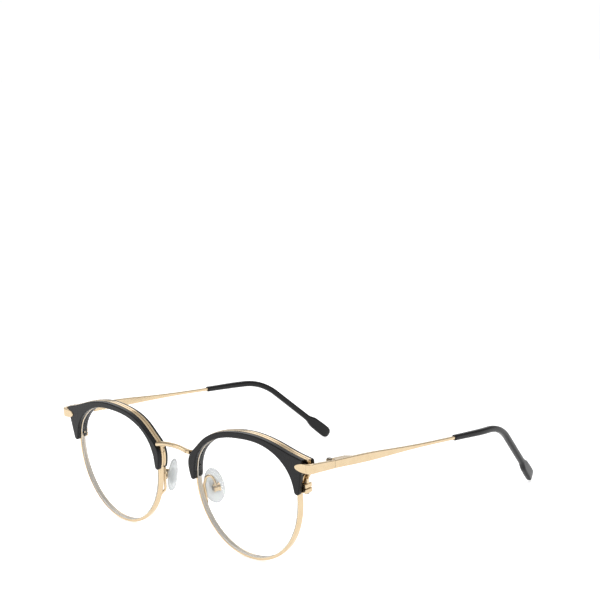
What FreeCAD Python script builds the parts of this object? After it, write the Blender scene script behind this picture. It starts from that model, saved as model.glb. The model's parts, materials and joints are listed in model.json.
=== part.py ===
import FreeCAD, Part

import math
import os

V = FreeCAD.Vector

# Half rim eyeglasses, millimetres. +X is the wearer's left, +Y runs back to the temple tips, +Z is up.
# The left half is modelled first. Three frames are used before everything is put together:
#   front frame: the front stands upright, rims at y = 0 on the middle plane, rim bottoms at z = 0
#   lens frame:  u away from the nose, y back, v up, from the middle of the lens
#   hinge frame: x outward, y along the temple, z along the hinge screw, from the hinge axis

# Lens and rim
TRACER_RADII = (23.7, 25.0, 22.96, 21.72, 23.73, 25.66, 24.0, 22.77, 22.13, 21.79, 22.04, 22.6)
OUTLINE_SAMPLES = 48
PUPIL_HALF_DISTANCE = 35.0
LENS_HEIGHT = 22.9
FACE_FORM = 2.36
RIM_THICKNESS = 1.12
RIM_DEPTH = 1.9
GROOVE_DEPTH = 0.62
GROOVE_HALF_WIDTH = 0.55
RIM_EDGE_RADIUS = 0.3
LENS_CURVE_RADIUS = 131.0
LENS_CENTRE_THICKNESS = 1.9
LENS_APEX = -3.25
BEVEL_HEIGHT = 0.5
BEVEL_HALF_WIDTH = 0.45
FIT_GAP = 0.05

# Brow: acetate front, metal plate, acetate back
BROW_OUTER_EDGE = ((29.9, 18.5), (24.1, 19.85), (17.4, 21.9), (10.7, 23.45), (2.5, 24.15), (-4.9, 23.6),
                   (-13.8, 21.4), (-18.3, 18.9), (-22.8, 15.0), (-25.9, 11.8), (-26.8, 9.3), (-26.2, 3.8))
NASAL_TIP = ((-26.2, 3.8), (-25.25, 2.75), (-24.1, 3.7))
BROW_INSIDE = ((-21.0, 6.0), (22.0, 8.5))
TEMPORAL_TIP = ((24.2, 7.0), (25.35, 5.7), (26.6, 7.3))
WING_LOWER_EDGE = ((26.6, 7.3), (27.0, 10.0), (27.9, 11.8), (29.4, 13.2), (30.8, 14.4))
WING_END = ((30.8, 17.4), (30.6, 18.2), (29.9, 18.5))
BROW_FRONT_DEPTH = 1.65
BROW_BACK_DEPTH = 1.0
BROW_EDGE_RADIUS = 0.45
BROW_BACK_EDGE_RADIUS = 0.2
PLATE_PROUD = 0.12
PLATE_TUCK = 0.6
PLATE_END_U = 30.4
PLATE_LINE_WIDTH = 0.2
PLATE_LINE_DEPTH = 0.3
PLATE_FULL_ABOVE = 14.0
BACK_STRIP = 1.6
BACK_LIFT = 0.3
BROW_SCREW_PLACES = ((-25.3, 9.4), (27.7, 13.6))
BROW_SCREW_RADIUS = 0.4
BROW_SCREW_HEAD_RADIUS = 0.75
BROW_SCREW_HEAD_HEIGHT = 0.3
BROW_SCREW_REACH = -1.8
SLOT_WIDTH = 0.22

# Closing block, the lock of the rim
BLOCK_SPLIT = 7.8
BLOCK_HALF_HEIGHT = 1.7
BLOCK_INNER = 24.0
BLOCK_OUTER = 28.3
BLOCK_FRONT = -0.6
BLOCK_BACK = 2.7
BLOCK_SLIT = 0.14
BLOCK_CLEARANCE = 0.08
BLOCK_EDGE_RADIUS = 0.35
RIM_SCREW_PLACE = (27.05, 1.1)
RIM_SCREW_RADIUS = 0.5
RIM_SCREW_HEAD_RADIUS = 0.85
RIM_SCREW_HEAD_HEIGHT = 0.45
STRUT_PATH = ((27.5, 1.1, 9.0), (27.7, 1.1, 11.2), (29.2, 0.6, 12.9), (30.2, 0.2, 14.2))
STRUT_RADIUS = 0.55
STRUT_BEND = 1.2

# End piece and hinge
ARM_OUTER = 68.3
ARM_THICKNESS = 1.4
ARM_CORNER_RADIUS = 2.3
ARM_STRAIGHT = 0.4
ARM_JOINT_HALF_HEIGHT = 1.45
ARM_CORNER_HALF_HEIGHT = 1.7
SPEAR_AXIS_V = 15.95
SPEAR_TIP_U = 25.9
SPEAR_HALF_HEIGHT = 1.55
SPEAR_LENGTH = 2.4
SPEAR_BLUNT = 0.35
SPEAR_BELLY = (1.3, 1.25)
SPEAR_EDGE_RADIUS = 0.3
SPEAR_FRONT = -2.95
SPEAR_BACK = -2.0
SPEAR_END_U = 31.4
LUG_CORNERS = ((30.0, -0.85, 14.7), (32.2, 0.85, 17.1))
PANTOSCOPIC = 7.5
HINGE_AXIS_INSET = 2.7
HINGE_Y = 11.67
HINGE_Z = 37.6
JOINT_GAP = 0.1
KNUCKLE_RADIUS = 1.2
KNUCKLE_TOP = 1.4
EYE_HALF_HEIGHT = 0.45
EYE_PLAY = 0.06
WEB_BITE = 0.2
NECK_HALF_WIDTH = 0.7
HINGE_SCREW_RADIUS = 0.6
HINGE_SCREW_HEAD_RADIUS = 0.95
HINGE_SCREW_HEAD_HEIGHT = 0.35
HINGE_SCREW_STICKS_OUT = 0.15
RUNNING_CLEARANCE = 0.03

# Spring box on the temple, with the slider and its spring
BOX_FRONT = 1.75
BOX_HALF_WIDTH = 1.3
BOX_HALF_HEIGHT = 1.3
BOX_SLOPE_START = 8.6
BOX_END = 10.9
BOX_EDGE_RADIUS = 0.35
BORE_RADIUS = 0.95
BORE_END = 8.0
RETAINER_FRONT = 1.85
RETAINER_LENGTH = 0.8
ROD_RADIUS = 0.42
ROD_END = 7.6
ROD_HEAD_RADIUS = 0.8
ROD_HEAD_LENGTH = 0.5
SPRING_COIL_RADIUS = 0.66
SPRING_WIRE_RADIUS = 0.11
SPRING_TURNS = 8
SPRING_END_GAP = 0.02

# Temple and its tip
TEMPLE_THICKNESS = 1.3
TEMPLE_PROFILE = ((8.0, 1.5), (20.0, 1.48), (28.0, 1.2), (38.0, 0.85), (48.0, 0.65))
TEMPLE_START_HALF_HEIGHT = 1.42
TEMPLE_END_HALF_HEIGHT = 0.62
TEMPLE_METAL_END = 66.0
TEMPLE_EDGE_RADIUS = 0.35
TEMPLE_PATH = ((60.0, 2.0, 0.0), (82.0, 2.0, 0.0), (96.0, 0.1, 0.0), (130.9, -9.0, -27.2))
TEMPLE_BENDS = (55.0, 27.0)
CORE_RADIUS = 0.6
CORE_STOP = 16.0
TIP_START = 65.0
TIP_HEIGHTS = ((0.0, 2.2), (0.25, 2.45), (0.6, 2.5), (0.8, 2.6), (0.865, 4.7), (0.93, 5.0), (0.97, 4.6))
TIP_WIDTHS = ((0.0, 2.1), (0.25, 2.5), (0.6, 2.6), (0.8, 2.5), (0.92, 2.4), (0.97, 2.0))
TIP_STATIONS = 30
TIP_RING = 12
TIP_LAST_STATION = 0.985

# Bridge
BRIDGE_PATH = ((8.6, 1.1, 34.6), (8.35, -2.1, 35.95), (4.4, -2.1, 37.0))
BRIDGE_BENDS = (1.3, 30.0)
BRIDGE_RADIUS = 0.88
GUSSET_ENDS = ((8.3, -0.5, 35.3), (8.5, 0.35, 32.4))
GUSSET_RADIUS = 0.5

# Nose pads
PAD_CENTRE = (11.5, 6.6, 20.7)
PAD_HEIGHT = 13.0
PAD_WIDTH = 7.6
PAD_THICKNESS = 2.0
PAD_EDGE_RADIUS = 0.85
PAD_SPLAY = 26.0
PAD_FRONTAL = 12.0
PAD_CORE_SIZE = (3.2, 0.8, 5.0)
PAD_STEM_SIZE = (1.2, 1.9)
PAD_SCREW_DISTANCE = 2.8
PAD_BOX_RADIUS = 1.65
PAD_BOX_HALF_LENGTH = 1.25
PAD_BOX_GAP = 0.08
PAD_BOX_OPEN = 1.0
PAD_BOX_FLOOR = 1.15
PAD_SCREW_RADIUS = 0.42
PAD_SCREW_HEAD_RADIUS = 0.85
PAD_SCREW_HEAD_HEIGHT = 0.35
PAD_ARM_PATH = ((12.8, 1.0, 14.9), (11.5, 2.4, 16.5), (10.9, 2.3, 22.6), (11.7, 3.4, 26.7),
                (13.4, 4.7, 24.9))
PAD_ARM_RADIUS = 0.48
PAD_ARM_BEND = 1.3
PAD_ARM_BITE = 0.8
PAD_ARM_ABOVE_AXIS = 0.6

# Standing on a table, on the rim bottoms and the temple tips
STAND_STEPS = 4

# Reach of the solids that only cut, and the size below which an edge counts as flat
SLOT_REACH = 2.0
REACH = 10.0
HALF_SPAN = 40.0
FLAT = 0.01

ORIGIN = V(0, 0, 0)
X_AXIS = V(1, 0, 0)
Y_AXIS = V(0, 1, 0)
Z_AXIS = V(0, 0, 1)


def spline_edge(points, closed=False):
    curve = Part.BSplineCurve()
    curve.interpolate(Points=points, PeriodicFlag=closed)
    return curve.toShape()


def cylinder(radius, start, end):
    return Part.makeCylinder(radius, (end - start).Length, start, end - start)


def box(low, high):
    return Part.makeBox(high[0] - low[0], high[1] - low[1], high[2] - low[2], V(*low))


def cut_slot(shape, centre, length_axis, depth_axis):
    """A screwdriver slot through the middle of a head, with its floor at the centre."""
    width_axis = length_axis.cross(depth_axis)
    corner = centre - length_axis * SLOT_REACH - width_axis * (SLOT_WIDTH / 2)
    along = length_axis * (2 * SLOT_REACH)
    slot = Part.Face(Part.makePolygon([
        corner, corner + along, corner + along + width_axis * SLOT_WIDTH,
        corner + width_axis * SLOT_WIDTH, corner])).extrude(depth_axis * SLOT_REACH)
    return shape.cut(slot)


def bent_path(points, bends):
    """Straight runs through the points, joined by a tangent arc at each inner point."""
    points = [V(*p) for p in points]
    edges = []
    start = points[0]
    for before, corner, after, radius in zip(points, points[1:], points[2:], bends):
        back = (before - corner).normalize()
        on = (after - corner).normalize()
        half_turn = (math.pi - back.getAngle(on)) / 2
        reach = radius * math.tan(half_turn)
        arc_start = corner + back * reach
        arc_end = corner + on * reach
        inward = (back + on).normalize()
        middle = corner + inward * (radius / math.cos(half_turn) - radius)
        edges.append(Part.makeLine(start, arc_start))
        edges.append(Part.Arc(arc_start, middle, arc_end).toShape())
        start = arc_end
    edges.append(Part.makeLine(start, points[-1]))
    return Part.Wire(edges)


def bent_wire(points, radius, bends):
    """A round wire along a bent path."""
    path = bent_path(points, bends)
    start = path.Edges[0]
    ring = Part.Wire(Part.makeCircle(radius, start.valueAt(0), start.tangentAt(0)))
    return path.makePipeShell([ring], True, False)


# ---------------------------------------------------------------- lens frame


def lens_curve():
    points = []
    for step, radius in enumerate(TRACER_RADII):
        angle = 2 * math.pi * step / len(TRACER_RADII)
        points.append(V(-radius * math.cos(angle), 0, radius * math.sin(angle)))
    return spline_edge(points, closed=True)


LENS_CURVE = lens_curve()


def outline(offset, y):
    """The lens opening, grown by an offset, as a wire at one depth."""
    points = []
    for step in range(OUTLINE_SAMPLES):
        at = LENS_CURVE.LastParameter * step / OUTLINE_SAMPLES
        place = LENS_CURVE.valueAt(at)
        outward = Y_AXIS.cross(LENS_CURVE.tangentAt(at))
        if outward.dot(place) < 0:
            outward = -outward
        points.append(place + outward * offset + V(0, y, 0))
    return Part.Wire(spline_edge(points, closed=True))


def opening_block(offset, y_from, y_to):
    return Part.Face(outline(offset, y_from)).extrude(V(0, y_to - y_from, 0))


def edge_ridge(root, crest, half_width):
    """A V ridge round the outline, from one offset out to another, as a solid disc."""
    profiles = [outline(root, -half_width), outline(crest, 0), outline(root, half_width)]
    return Part.makeLoft(profiles, True, True)


def grown(point, grow):
    """A point moved away from the middle of the lens."""
    u, v = point
    stretch = 1 + grow / math.hypot(u, v)
    return u * stretch, v * stretch


def brow_block(grow, y_from, y_to, lift=0.0):
    """The brow's outline, filled down to inside the lens opening, as a solid."""
    def at(point):
        u, v = grown(point, grow)
        return V(u, y_from, v + lift)

    inside = [at(p) for p in BROW_INSIDE]
    edges = [
        spline_edge([at(p) for p in BROW_OUTER_EDGE]),
        Part.Arc(*[at(p) for p in NASAL_TIP]).toShape(),
        Part.makeLine(at(NASAL_TIP[-1]), inside[0]),
        Part.makeLine(inside[0], inside[1]),
        Part.makeLine(inside[1], at(TEMPORAL_TIP[0])),
        Part.Arc(*[at(p) for p in TEMPORAL_TIP]).toShape(),
        spline_edge([at(p) for p in WING_LOWER_EDGE]),
        Part.makeLine(at(WING_LOWER_EDGE[-1]), at(WING_END[0])),
        Part.Arc(*[at(p) for p in WING_END]).toShape(),
    ]
    return Part.Face(Part.Wire(edges)).extrude(V(0, y_to - y_from, 0))


def face_edges(shape, y):
    """The edges that lie in the plane at one depth."""
    return [e for e in shape.Edges
            if abs(e.BoundBox.YMin - y) < FLAT and abs(e.BoundBox.YMax - y) < FLAT]


def rim():
    half = RIM_DEPTH / 2
    ring = opening_block(RIM_THICKNESS, -half, half)
    ring = ring.makeFillet(RIM_EDGE_RADIUS, face_edges(ring, -half) + face_edges(ring, half))
    ring = ring.cut(opening_block(0, -half, half))
    ring = ring.cut(edge_ridge(0, GROOVE_DEPTH, GROOVE_HALF_WIDTH))
    slit = box((0, -half, BLOCK_SPLIT - BLOCK_SLIT / 2), (BLOCK_OUTER, half, BLOCK_SPLIT + BLOCK_SLIT / 2))
    return ring.cut(slit)


def lens():
    centre = V(0, LENS_APEX + LENS_CURVE_RADIUS, 0)
    front = Part.makeSphere(LENS_CURVE_RADIUS, centre)
    back = Part.makeSphere(LENS_CURVE_RADIUS - LENS_CENTRE_THICKNESS, centre)
    blank = opening_block(-FIT_GAP, LENS_APEX - 1, RIM_DEPTH * 2).common(front).cut(back)
    return blank.fuse(edge_ridge(-FIT_GAP, BEVEL_HEIGHT, BEVEL_HALF_WIDTH).cut(
        opening_block(-2 * FIT_GAP, -RIM_DEPTH, RIM_DEPTH)))


def closing_block_half(sign):
    """One half of the closing block, brazed to the rim on its side of the slit."""
    low = BLOCK_SPLIT + sign * BLOCK_SLIT / 2
    high = BLOCK_SPLIT + sign * BLOCK_HALF_HEIGHT
    half = box((BLOCK_INNER, BLOCK_FRONT, min(low, high)), (BLOCK_OUTER, BLOCK_BACK, max(low, high)))
    rounded = [e for e in half.Edges if outer_edge(e, high)]
    half = half.makeFillet(BLOCK_EDGE_RADIUS, rounded)
    half = half.cut(opening_block(RIM_THICKNESS, BLOCK_FRONT - 1, RIM_DEPTH / 2))
    half = half.cut(opening_block(BACK_STRIP + BLOCK_CLEARANCE, RIM_DEPTH / 2, BLOCK_BACK + 1))
    return half.cut(rim_screw_hole())


def outer_edge(edge, far_height):
    """True for the block's edges that show: those on its outer side, and its far back edge."""
    flat = edge.BoundBox.ZLength < FLAT
    far = flat and abs(edge.BoundBox.ZMin - far_height) < FLAT
    upright_outside = not flat and edge.BoundBox.XMin > BLOCK_OUTER - FLAT
    return upright_outside or far and (edge.BoundBox.XMin > BLOCK_OUTER - FLAT
                                       or edge.BoundBox.YMin > BLOCK_BACK - FLAT)


def rim_screw_hole():
    u, y = RIM_SCREW_PLACE
    return cylinder(RIM_SCREW_RADIUS + FIT_GAP / 2, V(u, y, 0), V(u, y, BLOCK_SPLIT + BLOCK_HALF_HEIGHT))


def rim_screw():
    u, y = RIM_SCREW_PLACE
    bottom = BLOCK_SPLIT - BLOCK_HALF_HEIGHT
    shaft = cylinder(RIM_SCREW_RADIUS, V(u, y, bottom), V(u, y, BLOCK_SPLIT + BLOCK_HALF_HEIGHT - FIT_GAP))
    head = cylinder(RIM_SCREW_HEAD_RADIUS, V(u, y, bottom - RIM_SCREW_HEAD_HEIGHT), V(u, y, bottom))
    screw = shaft.fuse(head)
    return cut_slot(screw, V(u, y, bottom - RIM_SCREW_HEAD_HEIGHT / 2), X_AXIS, -Z_AXIS)


def strut():
    """The curved arm from the closing block up behind the wing."""
    return bent_wire(STRUT_PATH, STRUT_RADIUS, (STRUT_BEND, STRUT_BEND))


def closing_block_room():
    """The space that the closing block takes, and everything straight below it."""
    top = BLOCK_SPLIT + BLOCK_HALF_HEIGHT + FIT_GAP
    return box((0, -RIM_DEPTH / 2, 0), (BLOCK_OUTER + 1, BLOCK_BACK + 1, top))


def brow_plate():
    half = RIM_DEPTH / 2
    plate = brow_block(PLATE_PROUD, -half, half)
    plate = plate.common(brow_block(PLATE_PROUD, -half, half, lift=PLATE_TUCK).fuse(
        box((-HALF_SPAN, -half, PLATE_FULL_ABOVE), (HALF_SPAN, half, HALF_SPAN))))
    plate = plate.cut(opening_block(RIM_THICKNESS, -half, half))
    line = PLATE_LINE_WIDTH / 2
    ring = brow_block(PLATE_PROUD + 1, -line, line).cut(
        brow_block(PLATE_PROUD - PLATE_LINE_DEPTH, -line, line))
    plate = plate.cut(ring).cut(closing_block_room())
    plate = plate.cut(box((PLATE_END_U, -half, 0), (HALF_SPAN, half, HALF_SPAN)))
    return largest_solid(plate)


def brow_screw_holes():
    radius = BROW_SCREW_RADIUS + FIT_GAP / 2
    bottom = BROW_SCREW_REACH - FIT_GAP
    return Part.makeCompound([
        cylinder(radius, V(u, bottom, v), V(u, REACH, v)) for u, v in BROW_SCREW_PLACES])


def brow_screws():
    """The two screws that hold the back layer, the plate and the front layer together."""
    back = RIM_DEPTH / 2 + BROW_BACK_DEPTH
    screws = []
    for u, v in BROW_SCREW_PLACES:
        shaft = cylinder(BROW_SCREW_RADIUS, V(u, BROW_SCREW_REACH, v), V(u, back, v))
        head = cylinder(BROW_SCREW_HEAD_RADIUS, V(u, back, v), V(u, back + BROW_SCREW_HEAD_HEIGHT, v))
        screw = shaft.fuse(head)
        screws.append(cut_slot(screw, V(u, back + BROW_SCREW_HEAD_HEIGHT / 2, v), X_AXIS, Y_AXIS))
    return Part.makeCompound(screws)


def brow_front():
    back = -RIM_DEPTH / 2
    front = back - BROW_FRONT_DEPTH
    brow = brow_block(0, front, back).cut(opening_block(FIT_GAP, front, back))
    return brow.makeFillet(BROW_EDGE_RADIUS, face_edges(brow, front))


def brow_back():
    """The thin acetate layer behind the rim. Beside the closing block it is a strip along the rim."""
    front = RIM_DEPTH / 2
    back = front + BROW_BACK_DEPTH
    upper = box((-HALF_SPAN, front, PLATE_FULL_ABOVE), (HALF_SPAN, back, HALF_SPAN))
    layer = brow_block(0, front, back).common(brow_block(0, front, back, lift=BACK_LIFT).fuse(upper))
    layer = layer.cut(opening_block(FIT_GAP, front, back))
    layer = layer.cut(closing_block_room().cut(opening_block(BACK_STRIP, front - 1, back + 1)))
    return largest_solid(layer)


def largest_solid(shape):
    return max(shape.Solids, key=lambda solid: solid.Volume)


def spear():
    """The pointed front of the end piece, inlaid in the wing."""
    root = SPEAR_TIP_U + SPEAR_LENGTH
    upper = SPEAR_AXIS_V + SPEAR_HALF_HEIGHT
    lower = SPEAR_AXIS_V - SPEAR_HALF_HEIGHT
    belly_u, belly_half = SPEAR_BELLY

    def at(u, v):
        return V(u, SPEAR_FRONT, v)

    tip_top = at(SPEAR_TIP_U + SPEAR_BLUNT, SPEAR_AXIS_V + 2 * SPEAR_BLUNT)
    tip_low = at(SPEAR_TIP_U + SPEAR_BLUNT, SPEAR_AXIS_V - 2 * SPEAR_BLUNT)
    edges = [
        Part.Arc(tip_low, at(SPEAR_TIP_U, SPEAR_AXIS_V), tip_top).toShape(),
        spline_edge([tip_top, at(SPEAR_TIP_U + belly_u, SPEAR_AXIS_V + belly_half), at(root, upper)]),
        Part.makeLine(at(root, upper), at(SPEAR_END_U, upper)),
        Part.makeLine(at(SPEAR_END_U, upper), at(SPEAR_END_U, lower)),
        Part.makeLine(at(SPEAR_END_U, lower), at(root, lower)),
        spline_edge([at(root, lower), at(SPEAR_TIP_U + belly_u, SPEAR_AXIS_V - belly_half), tip_low]),
    ]
    blade = Part.Face(Part.Wire(edges)).extrude(V(0, SPEAR_BACK - SPEAR_FRONT, 0))
    return blade.makeFillet(SPEAR_EDGE_RADIUS, face_edges(blade, SPEAR_FRONT))


def on_front(shape):
    """Takes a shape from the lens frame to the front frame, left side."""
    placed = shape.copy()
    placed.translate(V(PUPIL_HALF_DISTANCE, 0, LENS_HEIGHT))
    placed.rotate(ORIGIN, Z_AXIS, FACE_FORM)
    return placed


# --------------------------------------------------------------- hinge frame


def at_hinge(shape):
    """Takes a shape from the hinge frame to the front frame, left side."""
    placed = shape.copy()
    placed.rotate(ORIGIN, X_AXIS, -PANTOSCOPIC)
    placed.translate(V(ARM_OUTER - HINGE_AXIS_INSET, HINGE_Y, HINGE_Z))
    return placed


def from_hinge(shape):
    placed = shape.copy()
    placed.translate(V(HINGE_AXIS_INSET - ARM_OUTER, -HINGE_Y, -HINGE_Z))
    placed.rotate(ORIGIN, X_AXIS, PANTOSCOPIC)
    return placed


def hinge_screw_hole():
    return cylinder(HINGE_SCREW_RADIUS + RUNNING_CLEARANCE, V(0, 0, -REACH), V(0, 0, REACH))


def knuckles():
    """The two outer knuckles of the end piece, with the webs that carry them."""
    solids = []
    inner = EYE_HALF_HEIGHT + EYE_PLAY
    for low, high in ((-KNUCKLE_TOP, -inner), (inner, KNUCKLE_TOP)):
        barrel = cylinder(KNUCKLE_RADIUS, V(0, 0, low), V(0, 0, high))
        web = box((0, -KNUCKLE_RADIUS, low), (HINGE_AXIS_INSET - ARM_THICKNESS + WEB_BITE, 0, high))
        solids.append(barrel.fuse(web))
    pair = solids[0].fuse(solids[1])
    return pair.cut(hinge_screw_hole())


def end_piece_arm():
    """The bar that turns the corner, in the front frame: plan outline, then height."""
    front = (PUPIL_HALF_DISTANCE + SPEAR_END_U) * math.sin(math.radians(FACE_FORM)) + SPEAR_FRONT
    outer = ARM_OUTER
    inner = ARM_OUTER - ARM_THICKNESS
    radius = ARM_CORNER_RADIUS
    small = radius - ARM_THICKNESS
    diagonal = math.sqrt(0.5)
    start = outer - radius - ARM_STRAIGHT
    joint = HINGE_Y + 1
    low = HINGE_Z - REACH

    def at(x, y):
        return V(x, y, low)

    middle = (outer - radius, front + radius)
    edges = [
        Part.makeLine(at(start, front + ARM_THICKNESS), at(start, front)),
        Part.makeLine(at(start, front), at(middle[0], front)),
        Part.Arc(at(middle[0], front), at(middle[0] + radius * diagonal, middle[1] - radius * diagonal),
                 at(outer, middle[1])).toShape(),
        Part.makeLine(at(outer, middle[1]), at(outer, joint)),
        Part.makeLine(at(outer, joint), at(inner, joint)),
        Part.makeLine(at(inner, joint), at(inner, middle[1])),
        Part.Arc(at(inner, middle[1]), at(middle[0] + small * diagonal, middle[1] - small * diagonal),
                 at(middle[0], front + ARM_THICKNESS)).toShape(),
        Part.makeLine(at(middle[0], front + ARM_THICKNESS), at(start, front + ARM_THICKNESS)),
    ]
    bar = Part.Face(Part.Wire(edges)).extrude(V(0, 0, 2 * REACH))
    centre = LENS_HEIGHT + SPEAR_AXIS_V
    top = [V(0, front, centre + ARM_CORNER_HALF_HEIGHT), V(0, middle[1], centre + ARM_CORNER_HALF_HEIGHT),
           V(0, joint, HINGE_Z + ARM_JOINT_HALF_HEIGHT)]
    low = [V(0, joint, HINGE_Z - ARM_JOINT_HALF_HEIGHT), V(0, middle[1], centre - ARM_CORNER_HALF_HEIGHT),
           V(0, front, centre - ARM_CORNER_HALF_HEIGHT)]
    heights = Part.Face(Part.makePolygon(top + low + top[:1]))
    return bar.common(heights.extrude(V(ARM_OUTER + REACH, 0, 0)))


def end_piece():
    """The arm, cut square at the joint, with the spear, the lug on the plate and the knuckles."""
    behind_joint = box((-REACH, 0, -REACH), (REACH, REACH, REACH))
    arm = at_hinge(from_hinge(end_piece_arm()).cut(behind_joint))
    lug = on_front(box(*LUG_CORNERS))
    return arm.fuse(lug).fuse(on_front(spear())).fuse(at_hinge(knuckles()))


def hinge_screw():
    low = -KNUCKLE_TOP - HINGE_SCREW_STICKS_OUT
    seat = KNUCKLE_TOP + FIT_GAP
    shaft = cylinder(HINGE_SCREW_RADIUS, V(0, 0, low), V(0, 0, seat))
    head = cylinder(HINGE_SCREW_HEAD_RADIUS, V(0, 0, seat), V(0, 0, seat + HINGE_SCREW_HEAD_HEIGHT))
    floor = seat + HINGE_SCREW_HEAD_HEIGHT / 2
    return cut_slot(shaft.fuse(head), V(0, 0, floor), Y_AXIS, Z_AXIS)


def hinge_slider():
    """The eye between the knuckles and the rod that runs into the spring box."""
    half = EYE_HALF_HEIGHT
    eye = cylinder(KNUCKLE_RADIUS, V(0, 0, -half), V(0, 0, half))
    neck = box((-NECK_HALF_WIDTH, HINGE_SCREW_RADIUS, -half), (NECK_HALF_WIDTH, BOX_FRONT - FIT_GAP, half))
    rod = cylinder(ROD_RADIUS, V(0, BOX_FRONT - 2 * FIT_GAP, 0), V(0, ROD_END, 0))
    head = cylinder(ROD_HEAD_RADIUS, V(0, ROD_END - ROD_HEAD_LENGTH, 0), V(0, ROD_END, 0))
    slider = eye.fuse(neck).fuse(rod).fuse(head)
    return slider.cut(hinge_screw_hole())


def spring_box():
    """The housing soldered to the inner side of the temple, with its rear end sloped down to the temple."""
    w = BOX_HALF_WIDTH
    temple_side = HINGE_AXIS_INSET - TEMPLE_THICKNESS
    plan = Part.makePolygon([
        V(temple_side, BOX_FRONT, -BOX_HALF_HEIGHT), V(-w, BOX_FRONT, -BOX_HALF_HEIGHT),
        V(-w, BOX_SLOPE_START, -BOX_HALF_HEIGHT), V(temple_side, BOX_END, -BOX_HALF_HEIGHT),
        V(temple_side, BOX_FRONT, -BOX_HALF_HEIGHT)])
    body = Part.Face(plan).extrude(V(0, 0, 2 * BOX_HALF_HEIGHT))
    inner_long = [e for e in body.Edges if e.BoundBox.XMax < -w + FLAT and e.BoundBox.YLength > 1]
    body = body.makeFillet(BOX_EDGE_RADIUS, inner_long)
    return body.cut(cylinder(BORE_RADIUS, V(0, 0, 0), V(0, BORE_END, 0)))


def spring_retainer():
    ring = cylinder(BORE_RADIUS, V(0, RETAINER_FRONT, 0), V(0, RETAINER_FRONT + RETAINER_LENGTH, 0))
    return ring.cut(cylinder(ROD_RADIUS + RUNNING_CLEARANCE * 2, V(0, 0, 0), V(0, BOX_END, 0)))


def hinge_spring():
    start = RETAINER_FRONT + RETAINER_LENGTH + SPRING_WIRE_RADIUS + SPRING_END_GAP
    end = ROD_END - ROD_HEAD_LENGTH - SPRING_WIRE_RADIUS - SPRING_END_GAP
    helix = Part.makeHelix((end - start) / SPRING_TURNS, end - start, SPRING_COIL_RADIUS)
    first = helix.Edges[0]
    at = first.FirstParameter
    ring = Part.Wire(Part.makeCircle(SPRING_WIRE_RADIUS, first.valueAt(at), first.tangentAt(at)))
    coil = Part.Wire(helix).makePipeShell([ring], True, True)
    coil.rotate(ORIGIN, X_AXIS, -90)
    coil.translate(V(0, start, 0))
    return coil


def temple():
    """The flat metal temple, tapering to the round core that runs on inside the tip."""
    outer = HINGE_AXIS_INSET
    inner = outer - TEMPLE_THICKNESS
    start = (JOINT_GAP, TEMPLE_START_HALF_HEIGHT)
    stations = (start,) + TEMPLE_PROFILE + ((TEMPLE_METAL_END, TEMPLE_END_HALF_HEIGHT),)
    top = [V(inner, y, half) for y, half in stations]
    low = [V(inner, y, -half) for y, half in reversed(stations)]
    side = Part.Face(Part.Wire([
        spline_edge(top), Part.makeLine(top[-1], low[0]), spline_edge(low), Part.makeLine(low[-1], top[0])]))
    bar = side.extrude(V(outer - inner, 0, 0))
    long_edges = [e for e in bar.Edges if e.BoundBox.YLength > REACH]
    bar = bar.makeFillet(TEMPLE_EDGE_RADIUS, long_edges)
    return bar.fuse(core_wire())


def core_wire():
    """The round wire that runs on inside the tip, stopping short of the paddle."""
    end = V(*TEMPLE_PATH[-1])
    toward = (end - V(*TEMPLE_PATH[-2])).normalize()
    stop = end - toward * CORE_STOP
    return bent_wire(hinge_frame_points(TEMPLE_PATH[:-1] + (tuple(stop),)), CORE_RADIUS, TEMPLE_BENDS)


def hinge_frame_points(path):
    """The temple's path is written as (along, outward, up), the hinge frame as (outward, along, up)."""
    return [(outward, along, up) for along, outward, up in path]


def reading(table, share):
    """A value read off a table of (share, value) pairs, with smooth steps between them."""
    for (low, first), (high, second) in zip(table, table[1:]):
        if share <= high:
            part = max(0.0, (share - low) / (high - low))
            ease = part * part * (3 - 2 * part)
            return first + (second - first) * ease
    return table[-1][1]


def temple_tip():
    """The acetate tip: oval sections along the bent path, out to the paddle end."""
    path = bent_path(hinge_frame_points(TEMPLE_PATH), TEMPLE_BENDS)
    skipped = TIP_START - TEMPLE_PATH[0][0]
    length = path.Length - skipped
    sections = []
    for step in range(TIP_STATIONS + 1):
        share = TIP_LAST_STATION * step / TIP_STATIONS
        place, along = on_path(path, skipped + share * length)
        up = (Z_AXIS - along * Z_AXIS.dot(along)).normalize()
        side = along.cross(up)
        height = reading(TIP_HEIGHTS, share)
        width = reading(TIP_WIDTHS, share)
        ring = [place + up * (height / 2 * math.cos(t)) + side * (width / 2 * math.sin(t))
                for t in (2 * math.pi * k / TIP_RING for k in range(TIP_RING))]
        sections.append(Part.Wire(spline_edge(ring, closed=True)))
    end, along = on_path(path, path.Length)
    sections.append(Part.Vertex(end))
    return Part.makeLoft(sections, True, False)


def on_path(path, distance):
    """The place and direction at a distance along a path."""
    for edge in path.Edges:
        if distance <= edge.Length or edge is path.Edges[-1]:
            at = edge.getParameterByLength(min(distance, edge.Length))
            return edge.valueAt(at), edge.tangentAt(at)
        distance -= edge.Length
    last = path.Edges[-1]
    return last.valueAt(last.LastParameter), last.tangentAt(last.LastParameter)


# --------------------------------------------------------------- front frame


def bridge(plates):
    """The arched bar and its two gussets, brazed to the brow plates."""
    half = [V(*p) for p in BRIDGE_PATH]
    other = [V(-p.x, p.y, p.z) for p in reversed(half)]
    path = [tuple(p) for p in half + other]
    bends = (BRIDGE_BENDS[0], BRIDGE_BENDS[1], BRIDGE_BENDS[1], BRIDGE_BENDS[0])
    bar = bent_wire(path, BRIDGE_RADIUS, bends)
    gusset = cylinder(GUSSET_RADIUS, V(*GUSSET_ENDS[0]), V(*GUSSET_ENDS[1]))
    return bar.fuse(gusset).fuse(gusset.mirror(ORIGIN, X_AXIS)).cut(plates)


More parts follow.
